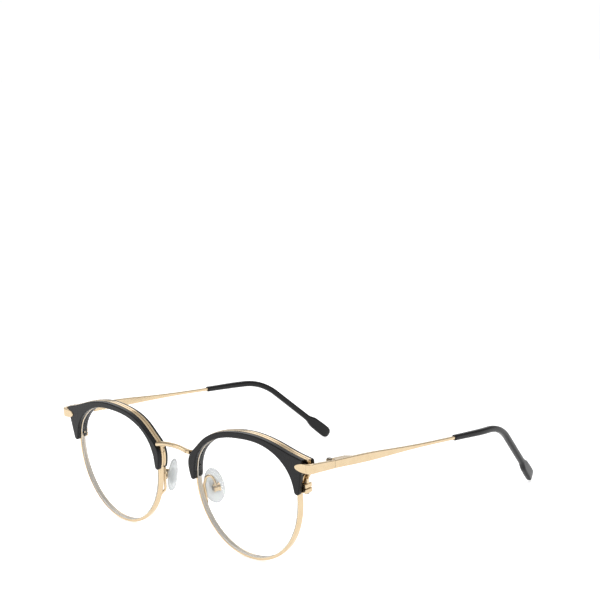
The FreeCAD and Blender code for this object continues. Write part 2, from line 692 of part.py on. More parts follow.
def at_pad(shape):
    """Takes a shape from the pad frame (x back, y to the nose, z up) to the front frame, left side."""
    placed = shape.copy()
    placed.rotate(ORIGIN, Z_AXIS, 90 - PAD_SPLAY)
    placed.rotate(ORIGIN, Y_AXIS, -PAD_FRONTAL)
    placed.translate(V(*PAD_CENTRE))
    return placed


def pad_core():
    """The hard insert inside the pad and its stem, with the eye for the pad screw."""
    w, t, h = PAD_CORE_SIZE
    plate = box((-w / 2, -t / 2, -h / 2), (w / 2, t / 2, h / 2))
    stem_w, stem_h = PAD_STEM_SIZE
    stem = box((-stem_w / 2, -PAD_SCREW_DISTANCE, -stem_h / 2), (stem_w / 2, 0, stem_h / 2))
    eye = cylinder(stem_h / 2, V(-stem_w / 2, -PAD_SCREW_DISTANCE, 0), V(stem_w / 2, -PAD_SCREW_DISTANCE, 0))
    core = plate.fuse(stem).fuse(eye)
    hole = cylinder(PAD_SCREW_RADIUS + RUNNING_CLEARANCE,
                    V(-stem_w, -PAD_SCREW_DISTANCE, 0), V(stem_w, -PAD_SCREW_DISTANCE, 0))
    return core.cut(hole)


def nose_pad(core):
    ellipse = Part.Ellipse(ORIGIN, PAD_HEIGHT / 2, PAD_WIDTH / 2).toShape()
    ellipse.rotate(ORIGIN, Z_AXIS, 90)
    ellipse.rotate(ORIGIN, X_AXIS, 90)
    ellipse.translate(V(0, -PAD_THICKNESS / 2, 0))
    pad = Part.Face(Part.Wire(ellipse)).extrude(V(0, PAD_THICKNESS, 0))
    rims = [e for e in pad.Edges if e.BoundBox.YLength < FLAT]
    return pad.makeFillet(PAD_EDGE_RADIUS, rims).cut(core)


def pad_box():
    """The round clip that holds the pad's stem, open towards the nose."""
    at = -PAD_SCREW_DISTANCE
    reach = PAD_BOX_HALF_LENGTH
    radius = PAD_BOX_RADIUS
    gap = PAD_STEM_SIZE[0] / 2 + PAD_BOX_GAP
    clip = cylinder(radius, V(-reach, at, 0), V(reach, at, 0))
    clip = clip.cut(box((-reach, at + PAD_BOX_OPEN, -radius), (reach, at + radius, radius)))
    clip = clip.cut(box((-gap, at - PAD_BOX_FLOOR, -radius), (gap, at + radius, radius)))
    return clip.cut(cylinder(PAD_SCREW_RADIUS + FIT_GAP / 2, V(-reach, at, 0), V(reach, at, 0)))


def pad_screw():
    at = -PAD_SCREW_DISTANCE
    reach = PAD_BOX_HALF_LENGTH
    shaft = cylinder(PAD_SCREW_RADIUS, V(-reach, at, 0), V(reach, at, 0))
    head = cylinder(PAD_SCREW_HEAD_RADIUS, V(-reach - PAD_SCREW_HEAD_HEIGHT, at, 0), V(-reach, at, 0))
    return cut_slot(shaft.fuse(head), V(-reach - PAD_SCREW_HEAD_HEIGHT / 2, at, 0), Z_AXIS, -X_AXIS)


def pad_arm(rim_solid, clip):
    """The wire from the back of the rim, up, over and down to the clip."""
    end = at_pad(Part.Vertex(V(0, -PAD_SCREW_DISTANCE - PAD_BOX_RADIUS * PAD_ARM_BITE, PAD_ARM_ABOVE_AXIS)))
    path = PAD_ARM_PATH + (tuple(end.Point),)
    bends = (PAD_ARM_BEND,) * (len(path) - 2)
    return bent_wire(path, PAD_ARM_RADIUS, bends).cut(rim_solid).cut(clip)


def left_half():
    """Every piece of the left half, in the front frame."""
    pieces = {}
    ring = rim()
    plate = brow_plate()
    holes = brow_screw_holes()
    upper = closing_block_half(1)
    back_layer = brow_back()
    block_strut = strut().cut(plate).cut(back_layer)
    screw_room = rim_screw_hole()

    pieces["rim"] = on_front(ring)
    pieces["lens"] = on_front(lens())
    pieces["closing_block_upper"] = on_front(largest_solid(upper.fuse(block_strut).cut(screw_room)))
    pieces["closing_block_lower"] = on_front(closing_block_half(-1))
    pieces["rim_screw"] = on_front(rim_screw())
    pieces["brow_screws"] = on_front(brow_screws())
    pieces["brow_back"] = on_front(back_layer.cut(holes))
    plate_placed = on_front(plate.cut(holes))
    pieces["end_piece"] = end_piece().cut(plate_placed)
    pieces["brow_plate"] = plate_placed
    pieces["brow_front"] = on_front(brow_front().cut(holes)).cut(pieces["end_piece"])

    pieces["hinge_screw"] = at_hinge(hinge_screw())
    pieces["hinge_slider"] = at_hinge(hinge_slider())
    pieces["spring_box"] = at_hinge(spring_box())
    pieces["spring_retainer"] = at_hinge(spring_retainer())
    pieces["hinge_spring"] = at_hinge(hinge_spring())
    bar = temple()
    pieces["temple"] = at_hinge(bar)
    pieces["temple_tip"] = at_hinge(temple_tip().cut(bar))

    core = pad_core()
    pieces["pad_core"] = at_pad(core)
    pieces["nose_pad"] = at_pad(nose_pad(core))
    pieces["pad_box"] = at_pad(pad_box())
    pieces["pad_screw"] = at_pad(pad_screw())
    pieces["pad_arm"] = pad_arm(pieces["rim"], pieces["pad_box"])
    return pieces


def stand(pieces):
    """Turns the glasses until the rims and the tips rest on one plane, then puts the origin under them."""
    lean = 0.0
    for _ in range(STAND_STEPS):
        front = pieces["rim_left"].optimalBoundingBox().ZMin
        back_box = pieces["temple_tip_left"].optimalBoundingBox()
        turn = math.degrees(math.atan2(front - back_box.ZMin, back_box.YMax))
        lean += turn
        for shape in pieces.values():
            shape.rotate(ORIGIN, X_AXIS, turn)
    whole = Part.makeCompound(list(pieces.values())).optimalBoundingBox()
    shift = V(0, -whole.Center.y, -whole.ZMin)
    for shape in pieces.values():
        shape.translate(shift)
    print("the front leans forward", round(lean, 4), "degrees and moves", shift)


def main():
    os.makedirs("parts", exist_ok=True)
    half = left_half()
    pieces = {"bridge": None}
    for name, shape in half.items():
        pieces[name + "_left"] = shape
        pieces[name + "_right"] = shape.mirror(ORIGIN, X_AXIS)
    pieces["bridge"] = bridge([half["brow_plate"], half["brow_plate"].mirror(ORIGIN, X_AXIS)])
    stand(pieces)
    for name, shape in pieces.items():
        shape.exportStep("parts/" + name + ".step")
        print(name, len(shape.Solids), round(shape.Volume, 2), shape.isValid())


main()
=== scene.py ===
import json
import math

import bmesh
import bpy
import numpy as np
from mathutils import Matrix, Vector


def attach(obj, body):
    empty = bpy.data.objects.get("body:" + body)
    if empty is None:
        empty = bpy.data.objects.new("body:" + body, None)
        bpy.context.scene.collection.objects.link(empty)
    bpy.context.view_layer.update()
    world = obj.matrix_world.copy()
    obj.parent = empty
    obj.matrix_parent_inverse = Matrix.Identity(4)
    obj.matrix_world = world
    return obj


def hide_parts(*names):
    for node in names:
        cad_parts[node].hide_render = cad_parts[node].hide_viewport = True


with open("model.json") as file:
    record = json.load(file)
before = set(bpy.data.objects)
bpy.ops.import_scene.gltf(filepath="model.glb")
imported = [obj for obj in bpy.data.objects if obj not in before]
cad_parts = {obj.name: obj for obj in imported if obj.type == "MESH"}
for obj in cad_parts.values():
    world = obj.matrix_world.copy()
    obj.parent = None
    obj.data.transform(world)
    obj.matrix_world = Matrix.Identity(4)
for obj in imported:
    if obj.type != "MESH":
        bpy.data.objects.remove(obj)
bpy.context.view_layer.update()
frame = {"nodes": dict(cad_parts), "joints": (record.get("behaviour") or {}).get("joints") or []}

# Half rim eyeglasses. Pieces are drawn in millimetres in the frame of what they belong to, and then
# placed in the row frame in metres:
#   lens frame:  u away from the nose, y back, v up, from the middle of the lens
#   hinge frame: x outward, y along the temple, z along the hinge screw
#   pad frame:   x along the pad screw, y to the nose, z up, from the middle of the pad
MM = 0.001

# Front
TRACER_RADII = (23.7, 25.0, 22.96, 21.72, 23.73, 25.66, 24.0, 22.77, 22.13, 21.79, 22.04, 22.6)
PUPIL_HALF_DISTANCE = 35.0
LENS_HEIGHT = 22.9
FACE_FORM = math.radians(2.36)
PANTOSCOPIC = math.radians(7.5)
HINGE = Vector((65.6, 11.67, 37.6))
RIM_THICKNESS = 1.12
RIM_HALF_DEPTH = 0.95
GROOVE_DEPTH = 0.62
GROOVE_HALF_WIDTH = 0.55
SLIT_HEIGHT = 7.8
SLIT_HALF_WIDTH = 0.07
SLIT_SEARCH = 0.6
LENS_CURVE_RADIUS = 131.0
LENS_THICKNESS = 1.9
LENS_APEX = -3.25
LENS_RINGS = 14
BEVEL_HEIGHT = 0.5
BEVEL_HALF_WIDTH = 0.45
FIT_GAP = 0.05
EDGE_SLOPE = 0.9
OUTLINE_STEPS = 220
RIM_EDGE_RADIUS = 0.3
INNER_EDGE = 0.08
LENS_MIDDLE = 0.004
LENS_BANDS = (0.16, 0.42)
LENS_BAND_DIVISOR = 9
UNDER_BROW = (3.2, 6.6)

# Brow
BROW_OUTER_EDGE = ((29.9, 18.5), (24.1, 19.85), (17.4, 21.9), (10.7, 23.45), (2.5, 24.15), (-4.9, 23.6),
                   (-13.8, 21.4), (-18.3, 18.9), (-22.8, 15.0), (-25.9, 11.8), (-26.8, 9.3), (-26.2, 3.8))
NASAL_TIP = ((-26.2, 3.8), (-25.25, 2.75), (-24.1, 3.7))
TEMPORAL_TIP = ((24.2, 7.0), (25.35, 5.7), (26.6, 7.3))
WING_LOWER_EDGE = ((26.6, 7.3), (27.0, 10.0), (27.9, 11.8), (29.4, 13.2), (30.8, 14.4))
WING_END = ((30.8, 17.4), (30.6, 18.2), (29.9, 18.5))
BROW_FRONT_DEPTH = 1.65
BROW_BACK_DEPTH = 1.0
BROW_EDGE = 0.45
BROW_BACK_EDGE = 0.2
SOFT_EDGE = 0.1
METAL_EDGE = 0.07
TIP_RISE = 0.4
NASAL_STEPS, TEMPORAL_STEPS, WING_STEPS, WING_END_STEPS, TOP_STEPS = 8, 12, 24, 6, 90
NASAL_SIDE_U = -20
BLOCK_ROOM_TOP = 9.6
BACK_LIFT = 0.3
BACK_STRIP = 1.6
BACK_END_U = 30.8
PLATE_PROUD = 0.12
PLATE_TUCK = 0.6
PLATE_END_U = 30.4
PLATE_LINE = 0.12
PLATE_LINE_DEPTH = 0.3

# Closing block
BLOCK_INNER_U = 24.4
BLOCK_OUTER = 28.3
BLOCK_FRONT = -0.6
BLOCK_BACK = 2.7
BLOCK_HALF_HEIGHT = 1.7
BLOCK_EDGE = 0.35
STRUT_PATH = ((27.5, 1.1, 9.0), (27.7, 1.1, 11.2), (29.2, 0.6, 12.9), (30.2, 0.2, 14.2))
STRUT_RADIUS = 0.55
STRUT_BEND = 1.2
BRAZE_STATIONS = 4

# End piece and hinge
ARM_OUTER = 68.3
ARM_THICKNESS = 1.4
ARM_CORNER_RADIUS = 2.3
ARM_CORNER_HALF_HEIGHT = 1.7
ARM_JOINT_HALF_HEIGHT = 1.45
ARM_EDGE = 0.3
CORNER_STEPS = 12
CORNER_GROWTH = 0.11
ARM_STEPS = 8
SPEAR_AXIS_V = 15.95
SPEAR_FRONT = -2.95
SPEAR_THICKNESS = 0.95
SPEAR_HEIGHTS = ((25.9, 0.25), (25.95, 0.48), (26.1, 0.68), (26.4, 0.87), (26.8, 1.07), (27.3, 1.26),
                 (27.8, 1.41), (28.3, 1.52), (29.0, 1.58), (30.0, 1.62), (31.0, 1.66))
SPEAR_END_U = 31.4
LUG_CORNERS = ((30.0, -0.85, 14.7), (32.2, 0.85, 17.1))
WEB_BITE = 0.2
HINGE_INSET = 2.7
KNUCKLE_RADIUS = 1.2
KNUCKLE_SPANS = ((-1.4, -0.51), (0.51, 1.4))
KNUCKLE_EDGE = 0.1

# Spring box
BOX_FRONT = 1.75
BOX_SLOPE_START = 8.6
BOX_END = 10.9
BOX_HALF_WIDTH = 1.3
BOX_HALF_HEIGHT = 1.3
BOX_EDGE = 0.35
BOX_LIP = 0.15

TEMPLE_PATH = ((60.0, 2.0, 0.0), (82.0, 2.0, 0.0), (96.0, 0.1, 0.0), (130.9, -9.0, -27.2))
TEMPLE_BENDS = (55.0, 27.0)
TEMPLE_OUTER = 2.7
TEMPLE_THICKNESS = 1.3
TEMPLE_HEIGHTS = ((0.1, 2.84), (8.0, 3.0), (20.0, 2.96), (28.0, 2.4), (38.0, 1.7), (48.0, 1.3),
                  (66.0, 1.24))
TEMPLE_EDGE = 0.35
TEMPLE_STATIONS = 70
TIP_START = 65.0
TIP_HEIGHTS = ((0.0, 2.2), (0.25, 2.45), (0.6, 2.5), (0.8, 2.6), (0.865, 4.7), (0.93, 5.0), (1.0, 5.0))
TIP_WIDTHS = ((0.0, 2.1), (0.25, 2.5), (0.6, 2.6), (0.8, 2.5), (0.92, 2.4), (1.0, 2.0))
TIP_ROUND = 0.964
TIP_MOUTH = 0.18
TIP_CORNER = 0.82
TIP_SPACING = 0.5
TIP_STATIONS = 60
TIP_MOUTH_STOPS = (0.0, 0.002, 0.006)
TIP_END_STOPS = (0.968, 0.978, 0.986, 0.992, 0.9965, 0.999)

# Bridge
BRIDGE_PATH = ((8.6, 1.1, 34.6), (8.35, -2.1, 35.95), (4.4, -2.1, 37.0))
BRIDGE_BENDS = (1.3, 30.0)
BRIDGE_RADIUS = 0.88
GUSSET_ENDS = ((8.3, -0.5, 35.3), (8.5, 0.35, 32.4))
GUSSET_RADIUS = 0.5
GUSSET_STEPS = 12
GUSSET_SWELL = 0.5

# Nose pads: the pad's sections are (depth, how far in from its edge), the same on both faces
PAD_HEIGHT = 13.0
PAD_WIDTH = 7.6
PAD_TAPER = 0.07
PAD_STEPS = 64
PAD_HALF_SECTIONS = ((1.0, 2.6), (0.97, 1.7), (0.9, 1.1), (0.78, 0.72), (0.6, 0.42), (0.4, 0.2),
                     (0.2, 0.06))
PAD_ARM_PATH = ((12.8, 1.0, 14.9), (11.5, 2.4, 16.5), (10.9, 2.3, 22.6), (11.7, 3.4, 26.7),
                (13.4, 4.7, 24.9))
PAD_ARM_END = (0.0, -4.12, 0.6)
PAD_ARM_RADIUS = 0.48
PAD_ARM_BEND = 1.3

PAD_CENTRE = Vector((11.5, 6.6, 20.7))
PAD_SPLAY = math.radians(26.0)
PAD_FRONTAL = math.radians(12.0)

# Studio. The room's bands are (height from straight down 0 to straight up 1, brightness) and the lamps are
# (name, place, what it points at, size, power)
FLOOR_RADIUS = 12.0
ROOM_BANDS = ((0.0, 0.9), (0.5, 1.45), (0.56, 1.45), (0.61, 0.8), (0.7, 0.5), (0.8, 0.7), (0.9, 1.0))
ROOM_LIGHT = 0.7
BOARD_GLOW = 0.55
LAMPS = (("overhead", (0.0, 0.0, 0.9), (0, 0, 0), (0.7, 0.7), 1.5),
         ("front_left", (-0.7, -0.8, 0.6), (0, 0, 0.02), (0.3, 0.5), 0.9),
         ("front_right", (0.9, -0.5, 0.35), (0, 0, 0.02), (0.2, 0.5), 0.6),
         ("rear", (-0.85, 0.85, 0.75), (0, 0, 0.02), (1.3, 0.6), 3.0))
CAMERA_AZIMUTH = math.radians(44.55)
CAMERA_RISE = math.radians(9.59)
CAMERA_ROLL = math.radians(-2.10)
CAMERA_DISTANCE = 0.5685
CAMERA_LENS = 88.44
CAMERA_AIM = Vector((0.00516, -0.00728, 0.08125))

SIDES = {"left": Matrix.Identity(4), "right": Matrix.Scale(-1, 4, (1, 0, 0))}


# ------------------------------------------------------------------ places


def joint(name):
    return next(j for j in frame["joints"] if j["name"] == name)


hinge_joint = joint("left_temple_fold")
screw_up = -Vector(hinge_joint["axis"])
lean = PANTOSCOPIC - math.atan2(screw_up.y, screw_up.z)
leaning = Matrix.Rotation(lean, 4, "X") @ Matrix.Scale(MM, 4)
FRONT = Matrix.Translation(Vector(hinge_joint["pos_m"]) - leaning @ HINGE) @ leaning
LENS = (FRONT @ Matrix.Rotation(FACE_FORM, 4, "Z")
        @ Matrix.Translation((PUPIL_HALF_DISTANCE, 0, LENS_HEIGHT)))
HINGED = FRONT @ Matrix.Translation(HINGE) @ Matrix.Rotation(-PANTOSCOPIC, 4, "X")
PAD = (FRONT @ Matrix.Translation(PAD_CENTRE) @ Matrix.Rotation(-PAD_FRONTAL, 4, "Y")
       @ Matrix.Rotation(math.pi / 2 - PAD_SPLAY, 4, "Z"))


# --------------------------------------------------------------- materials


def linear(colour):
    """An sRGB hex colour as the linear colour that a shader takes."""
    channels = [int(colour[i:i + 2], 16) / 255 for i in (1, 3, 5)]
    return [c / 12.92 if c <= 0.04045 else ((c + 0.055) / 1.055) ** 2.4 for c in channels] + [1.0]


def add(tree, kind, inputs=None, **settings):
    """Adds a node; an input is a value, or a socket of another node to link from."""
    made = tree.nodes.new(kind)
    for name, value in settings.items():
        setattr(made, name, value)
    for name, value in (inputs or {}).items():
        if isinstance(value, bpy.types.NodeSocket):
            tree.links.new(value, made.inputs[name])
        else:
            made.inputs[name].default_value = value
    return made


def per_metre(size_mm):
    """The scale of a pattern whose features have this size in millimetres."""
    return 1 / (size_mm * MM)


def surface(name, colours, roughness, patch_mm, grain_mm, grain_depth_mm, **shader):
    """A material whose colour and roughness drift in patches, with a fine relief."""
    material = bpy.data.materials.new(name)
    material.use_nodes = True
    tree = material.node_tree
    tree.nodes.clear()
    place = add(tree, "ShaderNodeTexCoord").outputs["Object"]
    patches = add(tree, "ShaderNodeTexNoise", {
        "Vector": place, "Scale": per_metre(patch_mm), "Detail": 3.0, "Roughness": 0.55})
    tint = add(tree, "ShaderNodeMix", {
        "Factor": patches.outputs["Fac"], "A": linear(colours[0]), "B": linear(colours[1])},
        data_type="RGBA")
    shine = add(tree, "ShaderNodeMapRange", {
        "Value": patches.outputs["Fac"], "From Min": 0.3, "From Max": 0.7,
        "To Min": roughness[0], "To Max": roughness[1]})
    grain = add(tree, "ShaderNodeTexNoise", {
        "Vector": place, "Scale": per_metre(grain_mm), "Detail": 2.0, "Roughness": 0.5})
    relief = add(tree, "ShaderNodeBump", {
        "Height": grain.outputs["Fac"], "Strength": 1.0, "Distance": grain_depth_mm * MM})
    made = add(tree, "ShaderNodeBsdfPrincipled", {
        "Base Color": tint.outputs[2], "Roughness": shine.outputs["Result"],
        "Normal": relief.outputs["Normal"], **shader})
    add(tree, "ShaderNodeOutputMaterial", {"Surface": made.outputs["BSDF"]})
    material.diffuse_color = linear(colours[0])
    return material


# Nickel silver, polished on felt wheels and plated in pale rose gold: bright soft reflections over a
# warm ground, with the faint waviness that the wheel leaves.
rose_gold = surface("rose_gold_plated_nickel_silver", ("#dcc8a8", "#cfb793"), (0.12, 0.2), 2.5, 0.35, 0.0006,
                    Metallic=1.0)
# Cellulose acetate, milled from sheet, tumbled and buffed: deep black with a soft, slightly uneven gloss.
acetate = surface("black_tumbled_cellulose_acetate", ("#0b0b0c", "#111113"), (0.22, 0.32), 4.0, 0.5, 0.0009,
                  IOR=1.48, **{"Specular IOR Level": 0.28})
# Stainless steel, turned on a small lathe: greyer than the plating, and duller.
screw_steel = surface("turned_stainless_steel", ("#a7a29a", "#8d877f"), (0.26, 0.4), 0.6, 0.12, 0.0008,
                      Metallic=1.0)
# Lens resin, cast and coated against reflections: clear, with very weak reflections.
lens_resin = surface("coated_cast_lens_resin", ("#fbfdfc", "#f8fbfa"), (0.0, 0.01), 8.0, 4.0, 0.00002,
                     IOR=1.5, Alpha=0.04, **{"Transmission Weight": 1.0})
# The lens edge, ground on a wheel: pale frosting. Its safety bevel is polished, and its dark grey colour is
# painted
# shade: a thin shadow line where the lens meets the rim. The rear of the edge under the brow is drawn black,
# to stand for the dark band that shows there.
lens_edge = surface("ground_lens_edge", ("#f1f3f3", "#e6e9e9"), (0.45, 0.6), 0.8, 0.08, 0.002,
                    IOR=1.5, Alpha=0.6, **{"Transmission Weight": 0.3})
painted_shade_bevel = surface("safety_bevel_painted_shade_line", ("#5a5c5e", "#6b6d6e"), (0.2, 0.3), 0.8, 0.1, 0.001, IOR=1.5)
blacked_edge = surface("blacked_lens_edge", ("#0c0c0d", "#131314"), (0.35, 0.5), 1.5, 0.15, 0.0012,
                       IOR=1.48, **{"Specular IOR Level": 0.2})
# Silicone, moulded in a polished tool: clear jelly with a soft surface gloss and greyer edges.
silicone = surface("moulded_clear_silicone", ("#e3e6e6", "#d4d9da"), (0.12, 0.22), 2.0, 0.4, 0.0006,
                   IOR=1.41, Alpha=0.8, **{"Transmission Weight": 0.5})
# Polycarbonate insert, moulded: milky and a little glossy inside the pad.
insert = surface("moulded_milky_polycarbonate", ("#e9ecec", "#dde1e2"), (0.25, 0.35), 1.5, 0.2, 0.0006,
                 IOR=1.58, Alpha=0.8, **{"Transmission Weight": 0.5})


# ------------------------------------------------------------------- lines


def smooth_line(points, steps, closed=False):
    """A cubic spline through the points, sampled at equal steps."""
    points = np.array(list(points) + ([points[0]] if closed else []), float)
    gaps = np.linalg.norm(np.diff(points, axis=0), axis=1)
    slopes = np.diff(points, axis=0) / gaps[:, None]
    last = len(points) - 1
    system, bends = np.eye(last + 1), np.zeros_like(points)
    for i in range(1, last):
        system[i, i - 1:i + 2] = gaps[i - 1], 2 * (gaps[i - 1] + gaps[i]), gaps[i]
        bends[i] = 6 * (slopes[i] - slopes[i - 1])
    if closed:
        system[0, last] = -1
        system[last, [0, 1, last - 1, last]] = 2 * gaps[0], gaps[0], gaps[-1], 2 * gaps[-1]
        bends[last] = 6 * (slopes[0] - slopes[-1])
    curve = np.linalg.solve(system, bends)
    knots = np.concatenate([[0], np.cumsum(gaps)])
    line = []
    for t in np.linspace(0, knots[-1], steps, endpoint=not closed):
        i = min(int(np.searchsorted(knots, t, side="right")) - 1, last - 1)
        h, a, b = gaps[i], knots[i + 1] - t, t - knots[i]
        line.append((curve[i] * a ** 3 + curve[i + 1] * b ** 3) / (6 * h)
                    + (points[i] / h - curve[i] * h / 6) * a
                    + (points[i + 1] / h - curve[i + 1] * h / 6) * b)
    return line


def arc_line(points, steps):
    """The arc through three points of a plane, as a line of places."""
    (ax, ay), (bx, by), (cx, cy) = points
    d = 2 * (ax * (by - cy) + bx * (cy - ay) + cx * (ay - by))
    a2, b2, c2 = ax * ax + ay * ay, bx * bx + by * by, cx * cx + cy * cy
    ux = (a2 * (by - cy) + b2 * (cy - ay) + c2 * (ay - by)) / d
    uy = (a2 * (cx - bx) + b2 * (ax - cx) + c2 * (bx - ax)) / d
    first, middle, last = (math.atan2(y - uy, x - ux) for x, y in points)
    turn = (last - first) % (2 * math.pi)
    if (middle - first) % (2 * math.pi) > turn:
        turn -= 2 * math.pi
    radius = math.hypot(ax - ux, ay - uy)
    return [np.array((ux + radius * math.cos(first + turn * k / steps),
                      uy + radius * math.sin(first + turn * k / steps))) for k in range(steps + 1)]


def bent_line(points, bends, spacing, arc_steps=10):
    """Straight runs through the points, with a tangent arc at each inner point."""
    points = [Vector(p) for p in points]
    corners = [points[0]]
    for before, corner, after, radius in zip(points, points[1:], points[2:], bends):
        back, on = (before - corner).normalized(), (after - corner).normalized()
        half = (math.pi - back.angle(on)) / 2
        centre = corner + (back + on).normalized() * (radius / math.cos(half))
        start = corner + back * radius * math.tan(half) - centre
        turn = start.rotation_difference(corner + on * radius * math.tan(half) - centre)
        for k in range(arc_steps + 1):
            part = Matrix.Rotation(turn.angle * k / arc_steps, 3, turn.axis)
            corners.append(centre + part @ start)
    corners.append(points[-1])
    line = [corners[0]]
    for a, b in zip(corners, corners[1:]):
        pieces = max(1, math.ceil((b - a).length / spacing))
        line += [a.lerp(b, k / pieces) for k in range(1, pieces + 1)]
    return line


def outline(offset):
    """The lens opening grown by an offset, as (u, v) places from the nose up and over."""
    line = np.array(LENS_LINE)
    along = np.roll(line, -1, 0) - np.roll(line, 1, 0)
    along /= np.linalg.norm(along, axis=1)[:, None]
    return line + np.stack([-along[:, 1], along[:, 0]], 1) * offset


LENS_LINE = smooth_line([(-r * math.cos(math.pi * k / 6), r * math.sin(math.pi * k / 6))
                         for k, r in enumerate(TRACER_RADII)], OUTLINE_STEPS, closed=True)


# -------------------------------------------------------------- mesh tools


def rounded_box(half_width, half_height, radius, steps=4):
    """A rectangle with rounded corners, as (across, up) places round its middle."""
    ring = []
    for quarter, (sx, sy) in enumerate(((1, 1), (-1, 1), (-1, -1), (1, -1))):
        for step in range(steps + 1):
            angle = math.pi / 2 * (quarter + step / steps)
            ring.append((sx * (half_width - radius) + radius * math.cos(angle),
                         sy * (half_height - radius) + radius * math.sin(angle)))
    return ring


def loft(sections, closed=False, rounds=None):
    """Joins rings of places one after the other and closes the two ends.
    rounds gives a radius for the long edges that start at those places of the ring."""
    bm = bmesh.new()
    rings, loops = [], []
    for section in sections:
        rings.append([bm.verts.new(p) for p in section])
        loops.append([bm.edges.new(pair) for pair in zip(rings[-1], rings[-1][1:] + rings[-1][:1])])
    for one, other in zip(loops, loops[1:] + (loops[:1] if closed else [])):
        bmesh.ops.bridge_loops(bm, edges=one + other)
    if not closed:
        for ring in (loops[0], loops[-1]):
            bmesh.ops.contextual_create(bm, geom=ring)
    bmesh.ops.recalc_face_normals(bm, faces=bm.faces)
    for place, radius in (rounds or {}).items():
        rail = {ring[place] for ring in rings if ring[place].is_valid}
        bevel(bm, [e for e in bm.edges if e.verts[0] in rail and e.verts[1] in rail], radius)
    bmesh.ops.remove_doubles(bm, verts=bm.verts, dist=1e-5)
    return bm


def wire(line, radii):
    """A round bar along a line, with a radius at each place or one for all."""
    if not hasattr(radii, "__len__"):
        radii = [radii] * len(line)
    sections = []
    side = None
    for i, (place, radius) in enumerate(zip(line, radii)):
        along = (line[min(i + 1, len(line) - 1)] - line[max(i - 1, 0)]).normalized()
        side = along.orthogonal() if side is None else side - along * side.dot(along)
        side.normalize()
        up = along.cross(side)
        sections.append([place + side * (radius * math.cos(math.pi * k / 10))
                         + up * (radius * math.sin(math.pi * k / 10)) for k in range(20)])
    return loft(sections)


def slab(places, front, back):
    """A flat outline of (u, v) places, given a thickness from front to back."""
    bm = bmesh.new()
    verts = [bm.verts.new((u, front, v)) for u, v in places]
    edges = [bm.edges.new(pair) for pair in zip(verts, verts[1:] + verts[:1])]
    bmesh.ops.remove_doubles(bm, verts=bm.verts, dist=0.02)
    face = bmesh.ops.contextual_create(bm, geom=[e for e in edges if e.is_valid])["faces"]
    made = bmesh.ops.extrude_face_region(bm, geom=face)["geom"]
    bmesh.ops.translate(bm, verts=[g for g in made if isinstance(g, bmesh.types.BMVert)],
                        vec=(0, back - front, 0))
    bmesh.ops.recalc_face_normals(bm, faces=bm.faces)
    return bm


def bevel(bm, edges, width, segments=4):
    bmesh.ops.bevel(bm, geom=edges, offset=width, offset_type="OFFSET", segments=segments, profile=0.5,
                    affect="EDGES", material=-1, clamp_overlap=True)


def edges_at(bm, y):
    """The edges that lie in the plane at one depth."""
    return [e for e in bm.edges if all(abs(v.co.y - y) < 1e-3 for v in e.verts) and len(e.link_faces) == 2
            and e.calc_face_angle(0) > 0.5]


def combined(*parts):
    """Several shapes as one mesh."""
    whole = bmesh.new()
    for part in parts:
        mesh = bpy.data.meshes.new("part")
        part.to_mesh(mesh)
        part.free()
        whole.from_mesh(mesh)
        bpy.data.meshes.remove(mesh)
    return whole


def moved(bm, matrix):
    bmesh.ops.transform(bm, matrix=matrix, verts=bm.verts)
    return bm


def piece(name, bm, place, body, material, nodes, sharp=40.0):
    """A finished piece in the row frame, riding its body in place of its CAD nodes."""
    bmesh.ops.transform(bm, matrix=place, verts=bm.verts)
    bmesh.ops.recalc_face_normals(bm, faces=bm.faces)
    mesh = bpy.data.meshes.new(name)
    bm.to_mesh(mesh)
    bm.free()
    mesh.polygons.foreach_set("use_smooth", [True] * len(mesh.polygons))
    mesh.set_sharp_from_angle(angle=math.radians(sharp))
    for one in material if isinstance(material, (list, tuple)) else [material]:
        mesh.materials.append(one)
    made = bpy.data.objects.new(name, mesh)
    bpy.context.scene.collection.objects.link(made)
    even = made.modifiers.new("even_shading", "WEIGHTED_NORMAL")
    even.keep_sharp = True
    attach(made, body)
    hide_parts(*nodes)
    return made


# ------------------------------------------------------------------ pieces


def rim():
    """The eye wire, from one face of the slit right round to the other."""
    profile = ((0.0, -RIM_HALF_DEPTH), (RIM_THICKNESS, -RIM_HALF_DEPTH), (RIM_THICKNESS, RIM_HALF_DEPTH),
               (0.0, RIM_HALF_DEPTH), (0.0, GROOVE_HALF_WIDTH), (GROOVE_DEPTH, 0.0),
               (0.0, -GROOVE_HALF_WIDTH))
    lines = [outline(offset) for offset, _ in profile]
    on_slit = [i for i, (u, v) in enumerate(LENS_LINE) if u > 0 and abs(v - SLIT_HEIGHT) < SLIT_SEARCH]
    first = on_slit[len(on_slit) // 2]
    order = [(first + 1 + k) % OUTLINE_STEPS for k in range(OUTLINE_STEPS - 1)]
    sections = [[(line[i][0], y, line[i][1]) for line, (_, y) in zip(lines, profile)] for i in order]
    for section, side in ((sections[0], -1), (sections[-1], 1)):
        for k, (u, y, _) in enumerate(section):
            section[k] = (u, y, SLIT_HEIGHT + side * SLIT_HALF_WIDTH)
    return loft(sections, rounds={1: RIM_EDGE_RADIUS, 2: RIM_EDGE_RADIUS, 0: INNER_EDGE, 3: INNER_EDGE})


